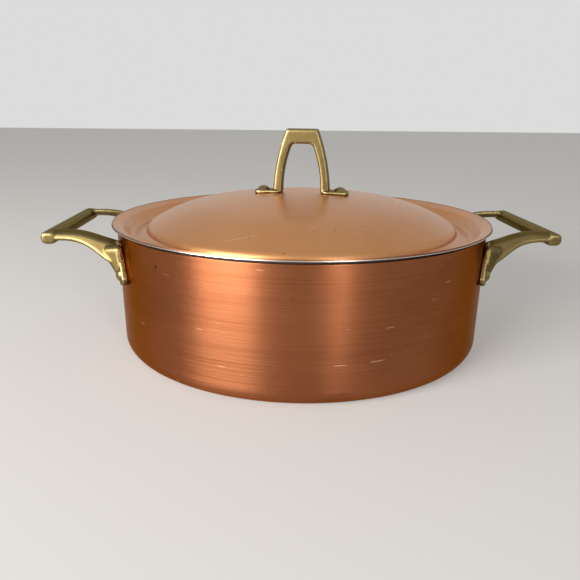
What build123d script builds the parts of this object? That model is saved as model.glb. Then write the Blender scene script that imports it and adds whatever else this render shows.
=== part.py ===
"""A low round copper casserole with a stepped, domed lid and cast brass loop handles.

The pan is a drawn copper shell with a bonded stainless lining. Two cast brass loops are
riveted to its wall, right (+X) and left (-X). The lid is a copper skin over a stainless
lining, with a cast brass bridge handle riveted to its crown, and it only rests in the
pan's mouth. Millimetres, +Z up, origin at the centre of the flat base.
"""
import os
from math import asin, cos, degrees, radians, sin, sqrt, tan

from build123d import *

# Pan: a straight-sided vessel with a slight draft and a rounded bottom corner
pan_rim_radius = 117.3
pan_height = 76.7
pan_draft = 1.0
pan_corner_radius = 8.5
copper_wall = 1.5
lining_wall = 0.5
bond_gap = 0.05
rim_round = 0.35

# Lid: a rising flange, a channel that drops into the mouth, and a shallow dome
flange_overhang = 2.7
lid_copper = 0.8
lid_lining_wall = 0.35
lid_seat_gap = 0.3
lid_mouth_clearance = 1.65
flange_rise = 20.0
flange_round = 1.6
channel_depth = 6.6
channel_wall_angle = 52.0
channel_floor_angle = 16.2
channel_round = 4.0
channel_floor = 8.6
dome_foot_angle = 80.0
dome_shoulder_radius = 6.0
dome_haunch_radius = 100.0
dome_crown_radius = 380.0
dome_haunch_width = 37.8

# Side handles: a crossbar held out by two arms that swoop down to feet on the wall
bar_reach = 150.2
bar_below_rim = 3.1
bar_width = 8.9
bar_depth = 7.4
bar_round = 2.9
bar_end_round = 1.8
bar_end_proud = 0.4
arm_spread = 40.5
arm_width = 8.0
arm_tilt = 12.0
arm_edge_round = 1.5
foot_spread = 48.5
foot_below_rim = 16.7
foot_width = 9.6
foot_length = 26.5
foot_thickness = 3.0
foot_lean = 24.0
foot_end_round = 3.6
foot_edge_round = 1.1
handle_seat_gap = 0.1

# The arm's side outline, thin at the bar and deepening to a haunch over the foot. Each pair
# is a share of the way in from bar to foot, and a share of the drop from bar to foot
arm_ridge_lift = 3.3
arm_belly_drop = 0.9
arm_ridge = (
    (0.0, 0.0), (0.21, -0.01), (0.37, 0.0), (0.53, 0.075), (0.70, 0.205), (0.87, 0.33), (1.1, 0.51))
arm_belly = (
    (0.0, 0.0), (0.19, 0.0), (0.34, 0.03), (0.49, 0.15), (0.63, 0.37), (0.755, 0.61),
    (0.86, 0.78), (1.1, 0.84))

# Lid handle: a bridge with bowed legs and outward feet, cast with soft edges
lid_turn = -10.0
bridge_rise = 39.9
bridge_top_width = 19.6
bridge_base_width = 36.6
bridge_bow = 1.6
bridge_leg = 6.0
bridge_bar = 9.2
bridge_opening_width = 13.2
bridge_depth = 9.6
bridge_inner_round = 3.2
bridge_foot_span = 61.2
bridge_foot_width = 12.0
bridge_foot_thickness = 2.2
bridge_flare = 2.2
bridge_flare_sink = 0.7
pad_edge_round = 0.8
pad_setback = 0.5
bridge_foot_end_round = 3.4
bridge_edge_round = 1.4

# Rivets: a domed head outside, a shank through the layers, a flat head inside
shank_radius = 2.4
shank_clearance = 0.1
side_head_radius = 4.0
side_head_height = 2.2
side_rivet_drop = 6.8
lid_head_radius = 4.4
lid_head_height = 2.5
lid_rivet_spacing = 50.0
inner_head_radius = 4.4
inner_head_height = 1.4
inner_head_gap = 0.2

os.makedirs("parts", exist_ok=True)


def save(part, name):
    """Label one finished piece and write it."""
    part.label = name
    export_step(part, f"parts/{name}.step")


# Pan: the copper shell and the stainless lining share one outline at different insets

base_radius = pan_rim_radius - pan_height * tan(radians(pan_draft))
lining_inset = copper_wall + bond_gap
mouth_inset = lining_inset + lining_wall
mouth_radius = pan_rim_radius - mouth_inset


def dome_radius(base, rise):
    """Radius of the ball whose cap has this base radius and rise."""
    return (base**2 + rise**2) / (2 * rise)


def wall_radius(height):
    """Outer radius of the drafted wall at a height above the base."""
    return base_radius + height * tan(radians(pan_draft))


def cup_section(inset):
    """Half section of the pan's outline moved inward by inset, closed at the rim."""
    with BuildSketch() as section:
        with BuildLine():
            Polyline(
                (0, inset),
                (base_radius - inset, inset),
                (pan_rim_radius - inset, pan_height),
                (0, pan_height),
                close=True,
            )
        make_face()
        corner = section.vertices().group_by(Axis.Y)[0].sort_by(Axis.X)[-1]
        fillet(corner, radius=pan_corner_radius - inset)
    return section.sketch


pan_outline = cup_section(0)
copper_inside = cup_section(copper_wall)
lining_outside = cup_section(lining_inset)
lining_inside = cup_section(mouth_inset)
seat_outline = cup_section(-handle_seat_gap)

# The space that the pan fills, by which the handles' feet are cut to sit on its wall
with BuildPart() as pan_space:
    with BuildSketch(Plane.XZ):
        add(seat_outline)
    revolve(axis=Axis.Z)


# Feet and rivets: one foot's plane touches the wall, and the others are its mirror images

bar_height = pan_height - bar_below_rim
foot_height = pan_height - foot_below_rim
foot_azimuth = asin(foot_spread / wall_radius(foot_height))
foot_out = Vector(cos(foot_azimuth), -sin(foot_azimuth), 0)
foot_along = Vector(sin(foot_azimuth), cos(foot_azimuth), 0)
foot_center = foot_out * wall_radius(foot_height) + Vector(0, 0, foot_height)
foot_plane = Plane(origin=foot_center, x_dir=foot_along, z_dir=foot_out)
side_rivet_place = (
    -side_rivet_drop * sin(radians(foot_lean)),
    -side_rivet_drop * cos(radians(foot_lean)),
)
bore_reach = foot_thickness + mouth_inset + inner_head_height

with BuildPart() as wall_bores:
    with BuildSketch(foot_plane):
        with Locations(side_rivet_place):
            Circle(shank_radius + shank_clearance)
    extrude(amount=bore_reach, both=True)
    mirror(about=Plane.XZ)
    mirror(about=Plane.YZ)

with BuildPart() as pan_body:
    with BuildSketch(Plane.XZ) as copper_section:
        add(pan_outline)
        add(copper_inside, mode=Mode.SUBTRACT)
        lip = copper_section.vertices().group_by(Axis.Z)[-1].sort_by(Axis.X)[-1]
        fillet(lip, radius=rim_round)
    revolve(axis=Axis.Z)
    add(wall_bores.part, mode=Mode.SUBTRACT)
save(pan_body.part, "pan_body")

with BuildPart() as pan_lining:
    with BuildSketch(Plane.XZ):
        add(lining_outside)
        add(lining_inside, mode=Mode.SUBTRACT)
    revolve(axis=Axis.Z)
    add(wall_bores.part, mode=Mode.SUBTRACT)
save(pan_lining.part, "pan_lining")


# Side handle: one leaning arm and foot are mirrored to the other end of the crossbar

# The arm's outline runs inward on a plane that tilts its ridge up towards the handle's middle
arm_plane = Plane(
    origin=(bar_reach, -arm_spread, bar_height),
    x_dir=(-1, 0, 0),
    z_dir=(0, cos(radians(arm_tilt)), sin(radians(arm_tilt))),
)

# The slab that bounds the arm leans with the foot and drifts outward on its way in
slab_half = arm_width / 2 / cos(radians(foot_lean))
slab_shift = foot_height * tan(radians(foot_lean))
slab_drift = foot_spread - arm_spread - (bar_height - foot_height) * tan(radians(foot_lean))
slab_run = Vector(bar_reach - foot_center.X, slab_drift, 0)
slab_start = foot_center - slab_run


def arm_points(shares, start):
    """Points of an arm outline on its plane, from a start height at the bar."""
    run = bar_reach - foot_center.X
    drop = bar_height - foot_height
    return [(run * inward, start - drop * down) for inward, down in shares]


with BuildPart() as arm:
    with BuildSketch(arm_plane):
        with BuildLine():
            ridge = Spline(*arm_points(arm_ridge, arm_ridge_lift))
            belly = Spline(*arm_points(arm_belly, -arm_belly_drop))
            Line(ridge @ 0, belly @ 0)
            Line(ridge @ 1, belly @ 1)
        make_face()
    extrude(amount=foot_spread, both=True)
    with BuildSketch(Plane(origin=(slab_start.X, 0, 0), x_dir=(0, 1, 0), z_dir=(1, 0, 0))):
        Polygon(
            (slab_start.Y - slab_half - slab_shift, 0),
            (slab_start.Y + slab_half - slab_shift, 0),
            (slab_start.Y + slab_half + slab_shift, 2 * foot_height),
            (slab_start.Y - slab_half + slab_shift, 2 * foot_height),
            align=None,
        )
    extrude(amount=2 * slab_run.length, dir=slab_run.normalized(), mode=Mode.INTERSECT)
    ridge_and_belly_edges = arm.edges().sort_by(Edge.length)[-4:]
    fillet(ridge_and_belly_edges, radius=arm_edge_round)

with BuildPart() as bar:
    with BuildSketch(Plane.XZ):
        with Locations((bar_reach, bar_height)):
            RectangleRounded(bar_width, bar_depth, bar_round)
    extrude(amount=arm_spread + arm_width / 2 + bar_end_proud, both=True)
    bar_ends = bar.edges().group_by(Axis.Y)
    fillet(bar_ends[0] + bar_ends[-1], radius=bar_end_round)

with BuildPart() as right_handle:
    with BuildSketch(foot_plane.offset(-mouth_inset)):
        RectangleRounded(foot_width, foot_length, foot_end_round, rotation=-foot_lean)
    extrude(amount=mouth_inset + foot_thickness)
    pad_face = right_handle.faces().sort_by(Axis(foot_center, foot_out))[-1]
    fillet(pad_face.edges(), radius=foot_edge_round)
    add(arm.part)
    mirror(about=Plane.XZ)
    add(bar.part)
    add(pan_space.part, mode=Mode.SUBTRACT)
    add(wall_bores.part, mode=Mode.SUBTRACT)
save(right_handle.part, "right_handle")

with BuildPart() as left_handle:
    mirror(right_handle.part, about=Plane.YZ)
save(left_handle.part, "left_handle")


# Side rivets: one is revolved about the foot's axis and mirrored to the other foot

rivet_axis = Axis(foot_plane.from_local_coords(side_rivet_place), foot_out)
rivet_plane = Plane(
    origin=rivet_axis.position, x_dir=foot_out, z_dir=foot_out.cross(Vector(0, 0, 1)))
wall_slip = (side_rivet_drop + inner_head_radius) * tan(radians(pan_draft))


def rivet_section(inner_face, head_face, head_radius, head_height):
    """Half section of a rivet along +X: inner head, shank, and domed head at head_face."""
    with BuildSketch() as section:
        with BuildLine():
            Polyline(
                (head_face + head_height, 0),
                (inner_face - inner_head_height, 0),
                (inner_face - inner_head_height, inner_head_radius),
                (inner_face, inner_head_radius),
                (inner_face, shank_radius),
                (head_face, shank_radius),
                (head_face, head_radius),
            )
            RadiusArc(
                (head_face, head_radius),
                (head_face + head_height, 0),
                dome_radius(head_radius, head_height),
            )
        make_face()
    return section.sketch


side_rivet_section = rivet_section(
    -mouth_inset - inner_head_gap - wall_slip, foot_thickness, side_head_radius, side_head_height)

with BuildPart() as right_handle_rivets:
    with BuildSketch(rivet_plane):
        add(side_rivet_section)
    revolve(axis=rivet_axis)
    mirror(about=Plane.XZ)
save(right_handle_rivets.part, "right_handle_rivets")

with BuildPart() as left_handle_rivets:
    mirror(right_handle_rivets.part, about=Plane.YZ)
save(left_handle_rivets.part, "left_handle_rivets")


# Lid: its upper surface runs from the crown down to the flange's edge

sheet = lid_copper + bond_gap + lid_lining_wall
flange_slope = tan(radians(flange_rise))
flange_radius = pan_rim_radius + flange_overhang
step_radius = mouth_radius - lid_mouth_clearance
seat_level = pan_height + lid_seat_gap + sheet / cos(radians(flange_rise))
step_level = seat_level - lid_mouth_clearance * flange_slope
edge_level = seat_level + (flange_radius - mouth_radius) * flange_slope
channel_level = step_level - channel_depth
channel_radius = step_radius - channel_depth / tan(radians(channel_wall_angle))
dome_foot_radius = channel_radius - channel_floor
dome_foot_level = channel_level + channel_floor * tan(radians(channel_floor_angle))
dome_crown_span = dome_foot_radius - dome_haunch_width

crown_sine = dome_crown_span / dome_crown_radius
shoulder_sine = sin(radians(dome_foot_angle))
haunch_sine = (
    dome_foot_radius
    - dome_shoulder_radius * shoulder_sine
    - dome_crown_span
    + dome_haunch_radius * crown_sine
) / (dome_haunch_radius - dome_shoulder_radius)
crown_angle = degrees(asin(crown_sine))
haunch_angle = degrees(asin(haunch_sine))


def arc_drop(radius, upper_angle, lower_angle):
    """Height lost along an arc between two slopes."""
    return radius * (cos(radians(upper_angle)) - cos(radians(lower_angle)))


crown_level = (
    dome_foot_level
    + arc_drop(dome_crown_radius, 0, crown_angle)
    + arc_drop(dome_haunch_radius, crown_angle, haunch_angle)
    + arc_drop(dome_shoulder_radius, haunch_angle, dome_foot_angle)
)


def dome_level(radius):
    """Height of the crown's upper surface at a distance from the axis."""
    return crown_level - dome_crown_radius + sqrt(dome_crown_radius**2 - radius**2)


def lid_section(depth, wall):
    """Half section of one layer of the lid, its top at a depth below the upper surface."""
    with BuildLine() as surface:
        crown = JernArc((0, crown_level), (1, 0), dome_crown_radius, -crown_angle)
        haunch = JernArc(crown @ 1, crown % 1, dome_haunch_radius, crown_angle - haunch_angle)
        shoulder = JernArc(
            haunch @ 1, haunch % 1, dome_shoulder_radius, haunch_angle - dome_foot_angle)
        FilletPolyline(
            shoulder @ 1,
            (channel_radius, channel_level),
            (step_radius, step_level),
            (flange_radius, edge_level),
            radius=(channel_round, flange_round),
        )
    bottom = surface.wire().offset_2d(depth + wall, side=Side.RIGHT, closed=False)
    top = surface.wire()
    if depth:
        top = top.offset_2d(depth, side=Side.RIGHT, closed=False)
    with BuildSketch() as section:
        with BuildLine():
            add(top)
            add(bottom)
            Line(top @ 0, bottom @ 0)
            Line(top @ 1, bottom @ 1)
        make_face()
    return section.sketch


skin_section = lid_section(0, lid_copper)
lid_lining_section = lid_section(lid_copper + bond_gap, lid_lining_wall)

# The handle and its two rivets stand on one line across the crown, turned a little from +X
turned_x = Vector(cos(radians(lid_turn)), sin(radians(lid_turn)), 0)
lid_rivet_places = [turned_x * (side * lid_rivet_spacing / 2) for side in (-1, 1)]

with BuildPart() as lid_bores:
    with Locations(*[place + Vector(0, 0, crown_level) for place in lid_rivet_places]):
        Cylinder(shank_radius + shank_clearance, 2 * bridge_rise)

with BuildPart() as lid_shell:
    with BuildSketch(Plane.XZ):
        add(skin_section)
    revolve(axis=Axis.Z)
    add(lid_bores.part, mode=Mode.SUBTRACT)
save(lid_shell.part, "lid_shell")

with BuildPart() as lid_lining:
    with BuildSketch(Plane.XZ):
        add(lid_lining_section)
    revolve(axis=Axis.Z)
    add(lid_bores.part, mode=Mode.SUBTRACT)
save(lid_lining.part, "lid_lining")


# Lid handle: bowed legs and a bar cut from one outline, with a wider pad under each foot

pad_level = dome_level(lid_rivet_spacing / 2) + bridge_foot_thickness
bridge_top = crown_level + bridge_rise
bridge_floor = dome_level(bridge_foot_span / 2) - bridge_foot_thickness
leg_outside = bridge_base_width / 2
leg_inside = leg_outside - bridge_leg
opening_half = bridge_opening_width / 2
pad_length = bridge_foot_span / 2 - leg_inside - pad_setback
pad_middle = bridge_foot_span / 2 - pad_length / 2

# The crown's surface with the handle's seat gap, by which the feet are cut to sit on it
with BuildPart() as crown_space:
    with BuildSketch(Plane.XZ):
        with BuildLine():
            seat_arc = JernArc(
                (0, crown_level + handle_seat_gap), (1, 0),
                dome_crown_radius + handle_seat_gap, -crown_angle)
            Polyline(seat_arc @ 1, (dome_crown_span, 0), (0, 0), seat_arc @ 0)
        make_face()
    revolve(axis=Axis.Z)

middle_level = (bridge_top + pad_level) / 2

with BuildPart() as bridge:
    with BuildSketch(Plane.XZ) as bridge_section:
        with BuildLine():
            outside = ThreePointArc(
                (bridge_top_width / 2, bridge_top),
                ((bridge_top_width / 2 + leg_outside) / 2 + bridge_bow, middle_level),
                (leg_outside, bridge_floor),
            )
            Line((leg_outside, bridge_floor), (leg_inside, bridge_floor))
            inside = ThreePointArc(
                (leg_inside, bridge_floor),
                ((opening_half + leg_inside) / 2 + bridge_bow, middle_level - bridge_bar / 2),
                (opening_half, bridge_top - bridge_bar),
            )
            Polyline(inside @ 1, (0, bridge_top - bridge_bar), (0, bridge_top), outside @ 0)
        make_face()
        corner = bridge_section.vertices().sort_by_distance(inside @ 1)[0]
        fillet(corner, radius=bridge_inner_round)
        mirror(about=Plane.YZ)
    extrude(amount=bridge_depth / 2, both=True)
    fillet(bridge.faces().filter_by(Axis.Y).edges(), radius=bridge_edge_round)

# Each leg flares into its pad on an arc that passes just under the pad's top
with BuildPart() as flared_bridge:
    with BuildSketch(Plane.XZ):
        with BuildLine():
            flare = TangentArc(
                (leg_outside - bridge_flare_sink, pad_level + bridge_flare),
                (leg_outside + bridge_flare, pad_level - bridge_flare_sink),
                tangent=(0, -1),
            )
            Polyline(
                flare @ 1,
                (leg_inside + bridge_leg / 2, pad_level - bridge_flare_sink),
                (leg_inside + bridge_leg / 2, pad_level + bridge_flare),
                flare @ 0,
            )
        make_face()
        mirror(about=Plane.YZ)
    extrude(amount=bridge_depth / 2 - bridge_edge_round - bridge_flare_sink, both=True)
    add(bridge.part)

with BuildPart() as straight_handle:
    with BuildSketch(Plane.XY.offset(pad_level)):
        with Locations((-pad_middle, 0), (pad_middle, 0)):
            RectangleRounded(pad_length, bridge_foot_width, bridge_foot_end_round)
    extrude(amount=bridge_floor - pad_level - pad_setback)
    fillet(straight_handle.edges().group_by(Axis.Z)[-1], radius=pad_edge_round)
    add(flared_bridge.part)
    add(crown_space.part, mode=Mode.SUBTRACT)

with BuildPart() as lid_handle:
    add(straight_handle.part, rotation=(0, 0, lid_turn))
    add(lid_bores.part, mode=Mode.SUBTRACT)
save(lid_handle.part, "lid_handle")


# Lid rivets: their domed heads stand on the pads, their flat heads close up the lining

lid_inner_face = (
    dome_level(lid_rivet_spacing / 2 + inner_head_radius) - sheet - inner_head_gap - pad_level)

lid_rivet_section = rivet_section(lid_inner_face, 0, lid_head_radius, lid_head_height)

with BuildPart() as lid_handle_rivets:
    for place in lid_rivet_places:
        standing = Plane(
            origin=place + Vector(0, 0, pad_level), x_dir=(0, 0, 1), z_dir=(0, -1, 0))
        with BuildSketch(standing):
            add(lid_rivet_section)
        revolve(axis=Axis(place, (0, 0, 1)))
save(lid_handle_rivets.part, "lid_handle_rivets")
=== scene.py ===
"""Dresses the copper casserole: finishes, softened castings, a pale floor, light and camera."""
import math

import bmesh
import bpy
from mathutils import Matrix, Vector


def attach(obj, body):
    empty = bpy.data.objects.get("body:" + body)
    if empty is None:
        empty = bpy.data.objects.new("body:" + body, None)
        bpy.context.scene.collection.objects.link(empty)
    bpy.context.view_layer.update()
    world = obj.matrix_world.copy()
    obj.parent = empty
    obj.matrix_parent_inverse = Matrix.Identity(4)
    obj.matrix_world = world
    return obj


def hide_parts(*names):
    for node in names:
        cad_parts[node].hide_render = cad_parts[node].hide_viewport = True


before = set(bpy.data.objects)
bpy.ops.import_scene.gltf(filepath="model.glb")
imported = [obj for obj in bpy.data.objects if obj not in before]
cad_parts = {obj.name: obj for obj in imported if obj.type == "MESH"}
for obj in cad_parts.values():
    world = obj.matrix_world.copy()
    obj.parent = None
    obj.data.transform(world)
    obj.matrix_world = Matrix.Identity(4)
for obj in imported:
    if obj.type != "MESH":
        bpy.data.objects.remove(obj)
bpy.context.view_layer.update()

MM = 0.001

# The pan's shell: one drawn sheet of copper, its wall finished with an abrasive while it
# spun, so fine lines run round it. Years of use have left soft stains and small dings.


def linear(code):
    """An sRGB hex code as a linear RGBA colour."""
    parts = [int(code[start:start + 2], 16) / 255 for start in (1, 3, 5)]
    return [c / 12.92 if c <= 0.04045 else ((c + 0.055) / 1.055) ** 2.4 for c in parts] + [1]


def add(material, kind, sockets=None, **settings):
    """A new node with its settings, each of its sockets linked or given a value."""
    tree = material.node_tree
    node = tree.nodes.new(kind)
    for name, value in settings.items():
        setattr(node, name, value)
    for socket, value in (sockets or {}).items():
        if isinstance(value, bpy.types.NodeSocket):
            tree.links.new(value, node.inputs[socket])
        else:
            node.inputs[socket].default_value = value
    return node


def new_material(name):
    """A node material with nothing in it yet."""
    material = bpy.data.materials.new(name)
    material.use_nodes = True
    material.node_tree.nodes.clear()
    return material


def dress(node_name, material):
    """Gives a CAD node's object one finish all over."""
    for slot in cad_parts[node_name].material_slots:
        slot.material = material


line_length = 90 * MM   # how far a line runs before another takes over


def turned_lines(material, place, spacing, raggedness):
    """A noise of fine lines round the axis, up the wall and over the flat of a turned piece."""
    split = add(material, "ShaderNodeSeparateXYZ", {0: place})
    flat = add(material, "ShaderNodeVectorMath", {0: place, 1: (1, 1, 0)}, operation="MULTIPLY")
    radius = add(material, "ShaderNodeVectorMath", {0: flat.outputs[0]}, operation="LENGTH")
    profile = add(
        material, "ShaderNodeMath",
        {0: radius.outputs["Value"], 1: split.outputs["Z"]}, operation="ADD")
    bent = add(
        material, "ShaderNodeCombineXYZ",
        {"X": split.outputs["X"], "Y": split.outputs["Y"], "Z": profile.outputs[0]})
    scaled = add(
        material, "ShaderNodeMapping",
        {"Vector": bent.outputs[0], "Scale": (1 / line_length, 1 / line_length, 1 / spacing)})
    return add(
        material, "ShaderNodeTexNoise",
        {"Vector": scaled.outputs[0], "Scale": 1.0, "Detail": 3.0, "Roughness": raggedness})


# Brushed copper gives the eye a warm, reddish metal whose highlights smear upright, across
# its lines, with soft brown stains, dark dings and a few short bright nicks
brushed_copper = new_material("worn brushed copper")
copper_light = linear("#A06645")
copper_deep = linear("#7E4528")
copper_stain = linear("#56291A")
copper_nick = linear("#E2B08C")
copper_glance = linear("#E0BBA2")   # the tint at a glancing angle, less than white
line_spacing = 0.5 * MM   # the real lines are about 0.1 mm apart, too fine to show
line_raggedness = 0.65
line_depth = 0.05 * MM
stain_size = 60 * MM
stain_strength = 0.35
ding_spacing = 24 * MM
nick_length = 7 * MM
nick_width = 0.7 * MM   # wider than a real nick, which would be too fine to show
nick_tilt = (0.9, 0.6, 0.3)
nick_strength = 0.5
smear_turn = 0.25   # a quarter turn, so that highlights smear across the lines

copper_place = add(brushed_copper, "ShaderNodeTexCoord").outputs["Object"]
lines = turned_lines(brushed_copper, copper_place, line_spacing, line_raggedness)
stains = add(
    brushed_copper, "ShaderNodeTexNoise",
    {"Vector": copper_place, "Scale": 1 / stain_size, "Detail": 4.0, "Roughness": 0.6})
stain_amount = add(
    brushed_copper, "ShaderNodeMapRange",
    {"Value": stains.outputs["Fac"], "From Min": 0.45, "From Max": 0.78,
     "To Max": stain_strength})
dings = add(
    brushed_copper, "ShaderNodeTexVoronoi",
    {"Vector": copper_place, "Scale": 1 / ding_spacing, "Randomness": 1.0})
ding_amount = add(
    brushed_copper, "ShaderNodeMapRange",
    {"Value": dings.outputs["Distance"], "From Min": 0.02, "From Max": 0.05,
     "To Min": 1.0, "To Max": 0.0})
copper_mix = add(
    brushed_copper, "ShaderNodeMix",
    {"Factor": lines.outputs["Fac"], "A": copper_deep, "B": copper_light}, data_type="RGBA")
stained = add(
    brushed_copper, "ShaderNodeMix",
    {"Factor": stain_amount.outputs[0], "A": copper_mix.outputs["Result"], "B": copper_stain},
    data_type="RGBA")
nick_turn = add(
    brushed_copper, "ShaderNodeMapping",
    {"Vector": copper_place, "Rotation": nick_tilt,
     "Scale": (1 / nick_length, 1 / nick_length, 1 / nick_width)})
nicks = add(
    brushed_copper, "ShaderNodeTexNoise",
    {"Vector": nick_turn.outputs[0], "Scale": 0.5, "Detail": 1.0, "Roughness": 0.4})
nick_amount = add(
    brushed_copper, "ShaderNodeMapRange",
    {"Value": nicks.outputs["Fac"], "From Min": 0.765, "From Max": 0.8,
     "To Max": nick_strength})
nicked = add(
    brushed_copper, "ShaderNodeMix",
    {"Factor": nick_amount.outputs[0], "A": stained.outputs["Result"], "B": copper_nick},
    data_type="RGBA")
dinged = add(
    brushed_copper, "ShaderNodeMix",
    {"Factor": ding_amount.outputs[0], "A": nicked.outputs["Result"], "B": copper_stain},
    data_type="RGBA")
line_roughness = add(
    brushed_copper, "ShaderNodeMapRange",
    {"Value": lines.outputs["Fac"], "To Min": 0.24, "To Max": 0.42})
copper_height = add(
    brushed_copper, "ShaderNodeMath",
    {0: lines.outputs["Fac"], 1: ding_amount.outputs[0]}, operation="SUBTRACT")
copper_relief = add(
    brushed_copper, "ShaderNodeBump",
    {"Height": copper_height.outputs[0], "Strength": 0.12, "Distance": line_depth})
copper_around = add(brushed_copper, "ShaderNodeTangent", direction_type="RADIAL", axis="Z")
copper_surface = add(
    brushed_copper, "ShaderNodeBsdfPrincipled",
    {"Base Color": dinged.outputs["Result"], "Metallic": 1.0, "Specular Tint": copper_glance,
     "Roughness": line_roughness.outputs[0], "Anisotropic": 0.8,
     "Anisotropic Rotation": smear_turn, "Tangent": copper_around.outputs[0],
     "Normal": copper_relief.outputs[0]})
add(brushed_copper, "ShaderNodeOutputMaterial", {"Surface": copper_surface.outputs[0]})
dress("pan_body", brushed_copper)

# The pan's lining: a thin skin of stainless steel bonded to the copper, brushed in rings
# while it turned, and the only surface that food touches.

# Ring-brushed steel gives the eye a neutral grey metal with a soft fan of light on its floor
brushed_steel = new_material("ring-brushed stainless steel")
steel_light = linear("#CFCBC6")
steel_deep = linear("#B3AEA8")
ring_spacing = 0.8 * MM   # the real rings are finer than this and wouldn't show
ring_raggedness = 0.6
ring_depth = 0.05 * MM

steel_place = add(brushed_steel, "ShaderNodeTexCoord").outputs["Object"]
rings = turned_lines(brushed_steel, steel_place, ring_spacing, ring_raggedness)
steel_mix = add(
    brushed_steel, "ShaderNodeMix",
    {"Factor": rings.outputs["Fac"], "A": steel_deep, "B": steel_light}, data_type="RGBA")
steel_roughness = add(
    brushed_steel, "ShaderNodeMapRange",
    {"Value": rings.outputs["Fac"], "To Min": 0.25, "To Max": 0.4})
steel_relief = add(
    brushed_steel, "ShaderNodeBump",
    {"Height": rings.outputs["Fac"], "Strength": 0.1, "Distance": ring_depth})
steel_around = add(brushed_steel, "ShaderNodeTangent", direction_type="RADIAL", axis="Z")
steel_surface = add(
    brushed_steel, "ShaderNodeBsdfPrincipled",
    {"Base Color": steel_mix.outputs["Result"], "Metallic": 1.0,
     "Roughness": steel_roughness.outputs[0], "Anisotropic": 0.6,
     "Anisotropic Rotation": smear_turn, "Tangent": steel_around.outputs[0],
     "Normal": steel_relief.outputs[0]})
add(brushed_steel, "ShaderNodeOutputMaterial", {"Surface": steel_surface.outputs[0]})
dress("pan_lining", brushed_steel)

# The side handles: each is one casting of brass, a crossbar with two arms and feet, taken
# from a sand mould and rubbed down, so that its edges are soft and its flats keep a grain.

# Rubbed cast brass gives the eye an olive gold whose ridges are painted bright, partly for the
# wear of hands and cloths and partly as a painted highlight, brown in its hollows, and finely
# grained all over
cast_brass = new_material("rubbed cast brass")
brass_light = linear("#75653F")
brass_ridge_wear_and_highlight = linear("#B3A274")
brass_deep = linear("#46371C")
brass_tarnish = linear("#302611")
brass_glance = linear("#DCD2B8")   # the tint at a glancing angle, less than white
grain_size = 0.9 * MM
grain_depth = 0.12 * MM
patch_size = 14 * MM
hollow_strength = 0.7

brass_place = add(cast_brass, "ShaderNodeTexCoord").outputs["Object"]
grain = add(
    cast_brass, "ShaderNodeTexNoise",
    {"Vector": brass_place, "Scale": 1 / grain_size, "Detail": 4.0, "Roughness": 0.6})
patches = add(
    cast_brass, "ShaderNodeTexNoise",
    {"Vector": brass_place, "Scale": 1 / patch_size, "Detail": 5.0, "Roughness": 0.6})
edges = add(cast_brass, "ShaderNodeNewGeometry")
# Painted highlight with real wear: sharp ridges are painted lighter, partly for rubbing and
# partly to stand in for the line of light along them.
ridge_wear_and_highlight_amount = add(
    cast_brass, "ShaderNodeMapRange",
    {"Value": edges.outputs["Pointiness"], "From Min": 0.5, "From Max": 0.56})
hollow_amount = add(
    cast_brass, "ShaderNodeMapRange",
    {"Value": edges.outputs["Pointiness"], "From Min": 0.49, "From Max": 0.44,
     "To Max": hollow_strength})
brass_mix = add(
    cast_brass, "ShaderNodeMix",
    {"Factor": patches.outputs["Fac"], "A": brass_deep, "B": brass_light}, data_type="RGBA")
brass_worn_and_highlighted = add(
    cast_brass, "ShaderNodeMix",
    {"Factor": ridge_wear_and_highlight_amount.outputs[0], "A": brass_mix.outputs["Result"], "B": brass_ridge_wear_and_highlight},
    data_type="RGBA")
brass_dulled = add(
    cast_brass, "ShaderNodeMix",
    {"Factor": hollow_amount.outputs[0], "A": brass_worn_and_highlighted.outputs["Result"],
     "B": brass_tarnish}, data_type="RGBA")
brass_roughness = add(
    cast_brass, "ShaderNodeMapRange",
    {"Value": grain.outputs["Fac"], "To Min": 0.28, "To Max": 0.48})
brass_relief = add(
    cast_brass, "ShaderNodeBump",
    {"Height": grain.outputs["Fac"], "Strength": 0.25, "Distance": grain_depth})
brass_surface = add(
    cast_brass, "ShaderNodeBsdfPrincipled",
    {"Base Color": brass_dulled.outputs["Result"], "Metallic": 1.0,
     "Specular Tint": brass_glance, "Roughness": brass_roughness.outputs[0],
     "Normal": brass_relief.outputs[0]})
add(cast_brass, "ShaderNodeOutputMaterial", {"Surface": brass_surface.outputs[0]})

merge_distance = 0.002 * MM
cast_grid = 0.42 * MM
cast_softening = 14   # steps of smoothing, which round the edges over about 1 mm


def soften(piece):
    """Rounds a casting's edges and blends its joints as the mould and the rubbing did."""
    weld = piece.modifiers.new("weld", "WELD")
    weld.merge_threshold = merge_distance
    skin = piece.modifiers.new("skin", "REMESH")
    skin.mode = "VOXEL"
    skin.voxel_size = cast_grid
    skin.use_smooth_shade = True
    smooth = piece.modifiers.new("smooth", "SMOOTH")
    smooth.factor = 0.5
    smooth.iterations = cast_softening


# The web of metal that runs from each arm's haunch down over its foot to the rivet is the
# hull of four balls. Each has its place out from the axis, along the bar and up, and its
# radius, all in mm: under the arm, over the foot, above the rivet and under the rim
web_balls = (
    (114.5, 46.9, 66.8, 3.4), (109.6, 49.6, 58.7, 3.0), (106.6, 52.3, 52.4, 2.2),
    (108.4, 50.4, 68.0, 2.4))


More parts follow.
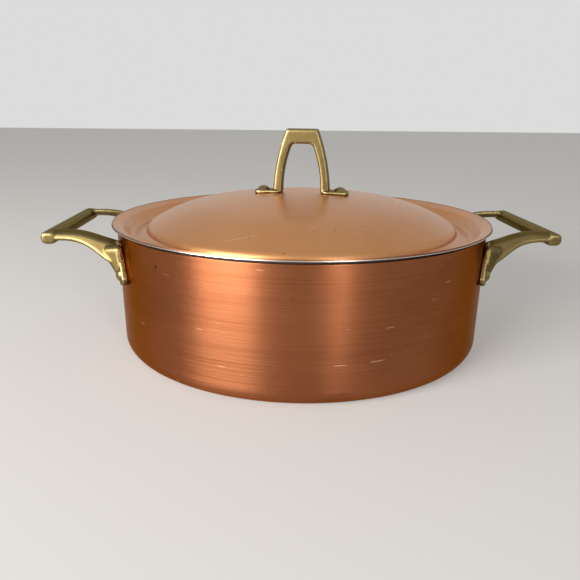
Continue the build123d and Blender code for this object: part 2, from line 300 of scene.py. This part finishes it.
def casting(name, node_name, side):
    """A side handle's casting, from its solid and the webs over its two feet."""
    shape = bmesh.new()
    shape.from_mesh(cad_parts[node_name].data)
    bmesh.ops.remove_doubles(shape, verts=shape.verts, dist=merge_distance)
    mesh = bpy.data.meshes.new(name)
    for end in (-1, 1):
        web = bmesh.new()
        for out, along, up, radius in web_balls:
            bmesh.ops.create_icosphere(
                web, subdivisions=3, radius=radius * MM,
                matrix=Matrix.Translation(Vector((side * out, end * along, up)) * MM))
        bmesh.ops.delete(web, geom=web.edges, context="EDGES_FACES")
        hull = bmesh.ops.convex_hull(web, input=web.verts)
        inside = [part for part in hull["geom_interior"] if isinstance(part, bmesh.types.BMVert)]
        bmesh.ops.delete(web, geom=inside, context="VERTS")
        bmesh.ops.recalc_face_normals(web, faces=web.faces)
        web.to_mesh(mesh)
        web.free()
        shape.from_mesh(mesh)
    shape.to_mesh(mesh)
    shape.free()
    piece = bpy.data.objects.new(name, mesh)
    bpy.context.scene.collection.objects.link(piece)
    piece.data.materials.append(cast_brass)
    soften(piece)
    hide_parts(node_name)
    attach(piece, "pan")


casting("right_casting", "right_handle", 1)
casting("left_casting", "left_handle", -1)

# The side handles' rivets: brass pins driven through the foot and the wall, their outer
# heads hammered to a dome and polished by use.

# Hammered brass gives the eye a yellow metal, smoother and brighter than the castings, with
# shallow dimples that break up its highlight
rivet_brass = new_material("hammered brass")
rivet_light = linear("#9C895A")
rivet_deep = linear("#6A5730")
hammer_size = 2.5 * MM
hammer_depth = 0.3 * MM

rivet_place = add(rivet_brass, "ShaderNodeTexCoord").outputs["Object"]
hammer = add(
    rivet_brass, "ShaderNodeTexNoise",
    {"Vector": rivet_place, "Scale": 1 / hammer_size, "Detail": 2.0})
rivet_mix = add(
    rivet_brass, "ShaderNodeMix",
    {"Factor": hammer.outputs["Fac"], "A": rivet_deep, "B": rivet_light}, data_type="RGBA")
rivet_relief = add(
    rivet_brass, "ShaderNodeBump",
    {"Height": hammer.outputs["Fac"], "Strength": 0.4, "Distance": hammer_depth})
rivet_surface = add(
    rivet_brass, "ShaderNodeBsdfPrincipled",
    {"Base Color": rivet_mix.outputs["Result"], "Metallic": 1.0, "Roughness": 0.28,
     "Normal": rivet_relief.outputs[0]})
add(rivet_brass, "ShaderNodeOutputMaterial", {"Surface": rivet_surface.outputs[0]})
for rivets in ("right_handle_rivets", "left_handle_rivets"):
    dress(rivets, rivet_brass)

# The lid's skin: a spun copper sheet with a stepped rim and a domed crown. It has a satin
# finish under a clear lacquer, with faint rings from the spinning, pits and hair scratches.

# Lacquered satin copper gives the eye a paler, pinker metal than the wall's, with broad soft
# highlights, a little gloss over them, and painted shade on its cut edge
satin_copper = new_material("lacquered satin copper")
lid_light = linear("#CF9767")
lid_deep = linear("#B97C4C")
# The lid's darkest colour serves both the real pits and the painted shade on the outer edge.
lid_pit_and_edge_shade = linear("#5E3A26")
lid_scratched = linear("#E9C7A6")
lid_ring_spacing = 1.1 * MM   # finer rings than these wouldn't show
lid_ring_depth = 0.05 * MM
pit_spacing = 9 * MM
scratch_width = 0.8 * MM   # a real hair scratch is finer than this and wouldn't show
scratch_length = 22 * MM
scratch_turn = math.radians(35)
scratch_strength = 0.6
lid_edge_inside = 118.9 * MM
lid_edge_outside = 119.7 * MM
lid_edge_shade_strength = 0.75

lid_place = add(satin_copper, "ShaderNodeTexCoord").outputs["Object"]
lid_flat = add(
    satin_copper, "ShaderNodeVectorMath", {0: lid_place, 1: (1, 1, 0)}, operation="MULTIPLY")
lid_radius = add(
    satin_copper, "ShaderNodeVectorMath", {0: lid_flat.outputs[0]}, operation="LENGTH")
lid_rings_place = add(
    satin_copper, "ShaderNodeVectorMath",
    {0: lid_flat.outputs[0], 1: (1 / line_length, 1 / line_length, 0)}, operation="MULTIPLY")
lid_ring_count = add(
    satin_copper, "ShaderNodeMath",
    {0: lid_radius.outputs["Value"], 1: 1 / lid_ring_spacing}, operation="MULTIPLY")
lid_ring_shift = add(
    satin_copper, "ShaderNodeCombineXYZ", {"Z": lid_ring_count.outputs[0]})
lid_rings_vector = add(
    satin_copper, "ShaderNodeVectorMath",
    {0: lid_rings_place.outputs[0], 1: lid_ring_shift.outputs[0]}, operation="ADD")
lid_rings = add(
    satin_copper, "ShaderNodeTexNoise",
    {"Vector": lid_rings_vector.outputs[0], "Scale": 1.0, "Detail": 3.0, "Roughness": 0.6})
lid_clouds = add(
    satin_copper, "ShaderNodeTexNoise",
    {"Vector": lid_place, "Scale": 1 / stain_size, "Detail": 5.0, "Roughness": 0.6})
pits = add(
    satin_copper, "ShaderNodeTexVoronoi",
    {"Vector": lid_place, "Scale": 1 / pit_spacing, "Randomness": 1.0})
pit_amount = add(
    satin_copper, "ShaderNodeMapRange",
    {"Value": pits.outputs["Distance"], "From Min": 0.03, "From Max": 0.07,
     "To Min": 1.0, "To Max": 0.0})
scratches_place = add(
    satin_copper, "ShaderNodeMapping",
    {"Vector": lid_place, "Rotation": (0, 0, scratch_turn),
     "Scale": (1 / scratch_length, 1 / scratch_width, 1 / scratch_length)})
scratches = add(
    satin_copper, "ShaderNodeTexNoise",
    {"Vector": scratches_place.outputs[0], "Scale": 1.0, "Detail": 2.0, "Roughness": 0.5})
scratch_amount = add(
    satin_copper, "ShaderNodeMapRange",
    {"Value": scratches.outputs["Fac"], "From Min": 0.72, "From Max": 0.76,
     "To Max": scratch_strength})
lid_mix = add(
    satin_copper, "ShaderNodeMix",
    {"Factor": lid_clouds.outputs["Fac"], "A": lid_deep, "B": lid_light}, data_type="RGBA")
lid_pitted = add(
    satin_copper, "ShaderNodeMix",
    {"Factor": pit_amount.outputs[0], "A": lid_mix.outputs["Result"], "B": lid_pit_and_edge_shade},
    data_type="RGBA")
lid_worn = add(
    satin_copper, "ShaderNodeMix",
    {"Factor": scratch_amount.outputs[0], "A": lid_pitted.outputs["Result"],
     "B": lid_scratched}, data_type="RGBA")
# Painted shade: the outermost ring of the flange, its cut edge, is darkened to dim the highlight
# it catches.
lid_edge_shade_amount = add(
    satin_copper, "ShaderNodeMapRange",
    {"Value": lid_radius.outputs["Value"], "From Min": lid_edge_inside,
     "From Max": lid_edge_outside, "To Max": lid_edge_shade_strength})
lid_edge_shaded = add(
    satin_copper, "ShaderNodeMix",
    {"Factor": lid_edge_shade_amount.outputs[0], "A": lid_worn.outputs["Result"], "B": lid_pit_and_edge_shade},
    data_type="RGBA")
lid_roughness = add(
    satin_copper, "ShaderNodeMapRange",
    {"Value": lid_rings.outputs["Fac"], "To Min": 0.34, "To Max": 0.46})
lid_marks = add(
    satin_copper, "ShaderNodeMath",
    {0: scratch_amount.outputs[0], 1: pit_amount.outputs[0]}, operation="ADD")
lid_height = add(
    satin_copper, "ShaderNodeMath",
    {0: lid_rings.outputs["Fac"], 1: lid_marks.outputs[0]}, operation="SUBTRACT")
lid_relief = add(
    satin_copper, "ShaderNodeBump",
    {"Height": lid_height.outputs[0], "Strength": 0.1, "Distance": lid_ring_depth})
lid_around = add(satin_copper, "ShaderNodeTangent", direction_type="RADIAL", axis="Z")
lid_surface = add(
    satin_copper, "ShaderNodeBsdfPrincipled",
    {"Base Color": lid_edge_shaded.outputs["Result"], "Metallic": 1.0,
     "Roughness": lid_roughness.outputs[0], "Anisotropic": 0.35,
     "Anisotropic Rotation": smear_turn, "Tangent": lid_around.outputs[0],
     "Normal": lid_relief.outputs[0], "Coat Weight": 0.15, "Coat Roughness": 0.12})
add(satin_copper, "ShaderNodeOutputMaterial", {"Surface": lid_surface.outputs[0]})
dress("lid_shell", satin_copper)

# The lid's lining: the same stainless steel as the pan's, bonded under the copper and
# brushed in rings.
dress("lid_lining", brushed_steel)

# The lid's handle: a bridge cast in the same brass as the side handles, its edges rubbed
# round and its two feet following the crown.
dress("lid_handle", cast_brass)
soften(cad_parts["lid_handle"])

# The lid handle's rivets: brass pins like those of the side handles, a little larger. They
# pass through the feet, the copper and the lining, and are hammered over below.
dress("lid_handle_rivets", rivet_brass)

# The floor: a plain pale surface, matt as paint, that carries the shadow. A part of its
# paleness is seen by the camera and mirrored by the metal but doesn't light the casserole.
floor_paint = new_material("matt pale paint")
floor_colour = linear("#ADAAA6")
pale = linear("#E6E4E1")
floor_glow = 0.3
floor_side = 8   # metres, to reach the horizon in every view


def seen(owner):
    """1 for the rays that show a surface: to the camera, in a gloss or through a glass."""
    path = add(owner, "ShaderNodeLightPath")
    direct_or_gloss = add(
        owner, "ShaderNodeMath",
        {0: path.outputs["Is Camera Ray"], 1: path.outputs["Is Glossy Ray"]},
        operation="MAXIMUM")
    any_of_them = add(
        owner, "ShaderNodeMath",
        {0: direct_or_gloss.outputs[0], 1: path.outputs["Is Transmission Ray"]},
        operation="MAXIMUM")
    return any_of_them.outputs[0]


floor_emission = add(
    floor_paint, "ShaderNodeMath", {0: seen(floor_paint), 1: floor_glow}, operation="MULTIPLY")
floor_surface = add(
    floor_paint, "ShaderNodeBsdfPrincipled",
    {"Base Color": floor_colour, "Roughness": 0.8, "Specular IOR Level": 0.2,
     "Emission Color": pale, "Emission Strength": floor_emission.outputs[0]})
add(floor_paint, "ShaderNodeOutputMaterial", {"Surface": floor_surface.outputs[0]})
bpy.ops.mesh.primitive_plane_add(size=floor_side)
floor = bpy.context.object
floor.name = "floor"
floor.data.materials.append(floor_paint)

# The backdrop: a studio world that lights the casserole softly from all round. The camera
# and the metal see it as a plain pale wall.
world = bpy.data.worlds.new("studio")
bpy.context.scene.world = world
world.use_nodes = True
world.node_tree.nodes.clear()
wall_colour = linear("#DBDCDB")
room_strength = 0.4

room = add(world, "ShaderNodeBackground", {"Color": pale, "Strength": room_strength})
backdrop = add(world, "ShaderNodeBackground", {"Color": wall_colour, "Strength": 1.0})
either = add(
    world, "ShaderNodeMixShader",
    {0: seen(world), 1: room.outputs[0], 2: backdrop.outputs[0]})
add(world, "ShaderNodeOutputWorld", {"Surface": either.outputs[0]})

# The lights: a wide soft box at the left of the camera, which makes the pale band on the
# wall and the gleam on the left handle, and a narrow strip at its right for the golden band.
lamp_elevation = 14
lamp_aim = Vector((0, 0, 60 * MM))


def soft_box(name, azimuth, distance, width, height, power):
    """An area light aimed at the casserole, its lengths in metres and its power in watts.

    Azimuth 0 is the camera's side, and a positive one is to the camera's right.
    """
    lamp = bpy.data.lights.new(name, "AREA")
    lamp.shape = "RECTANGLE"
    lamp.size = width
    lamp.size_y = height
    lamp.energy = power
    box = bpy.data.objects.new(name, lamp)
    bpy.context.scene.collection.objects.link(box)
    turn, lift = math.radians(azimuth), math.radians(lamp_elevation)
    direction = Vector((
        math.sin(turn) * math.cos(lift), -math.cos(turn) * math.cos(lift), math.sin(lift)))
    box.location = direction * distance + lamp_aim
    box.rotation_euler = direction.to_track_quat("Z", "Y").to_euler()


soft_box("left box", azimuth=-45, distance=1.3, width=0.8, height=0.6, power=34)
soft_box("right strip", azimuth=19, distance=1.4, width=0.2, height=0.6, power=7)

# The camera: the photograph's place and angle, in the casserole's frame. They were fitted to
# the rim, the base and the handles. It is 0.4 m away and just above the lid handle's top.
camera_place = Vector((-19.25, -392.48, 147.55)) * MM
camera_turn = math.radians(-1.8)
camera_down = 0.29369   # radians below level
camera_roll = 0.0106
camera_data = bpy.data.cameras.new("camera")
camera_data.sensor_width = 36
camera_data.lens = 37.24
camera_data.clip_start = 10 * MM
camera = bpy.data.objects.new("camera", camera_data)
bpy.context.scene.collection.objects.link(camera)
camera.matrix_world = (
    Matrix.Translation(camera_place)
    @ Matrix.Rotation(camera_turn, 4, "Z")
    @ Matrix.Rotation(math.pi / 2 - camera_down, 4, "X")
    @ Matrix.Rotation(camera_roll, 4, "Z"))
bpy.context.scene.camera = camera
bpy.context.scene.view_settings.view_transform = "Standard"
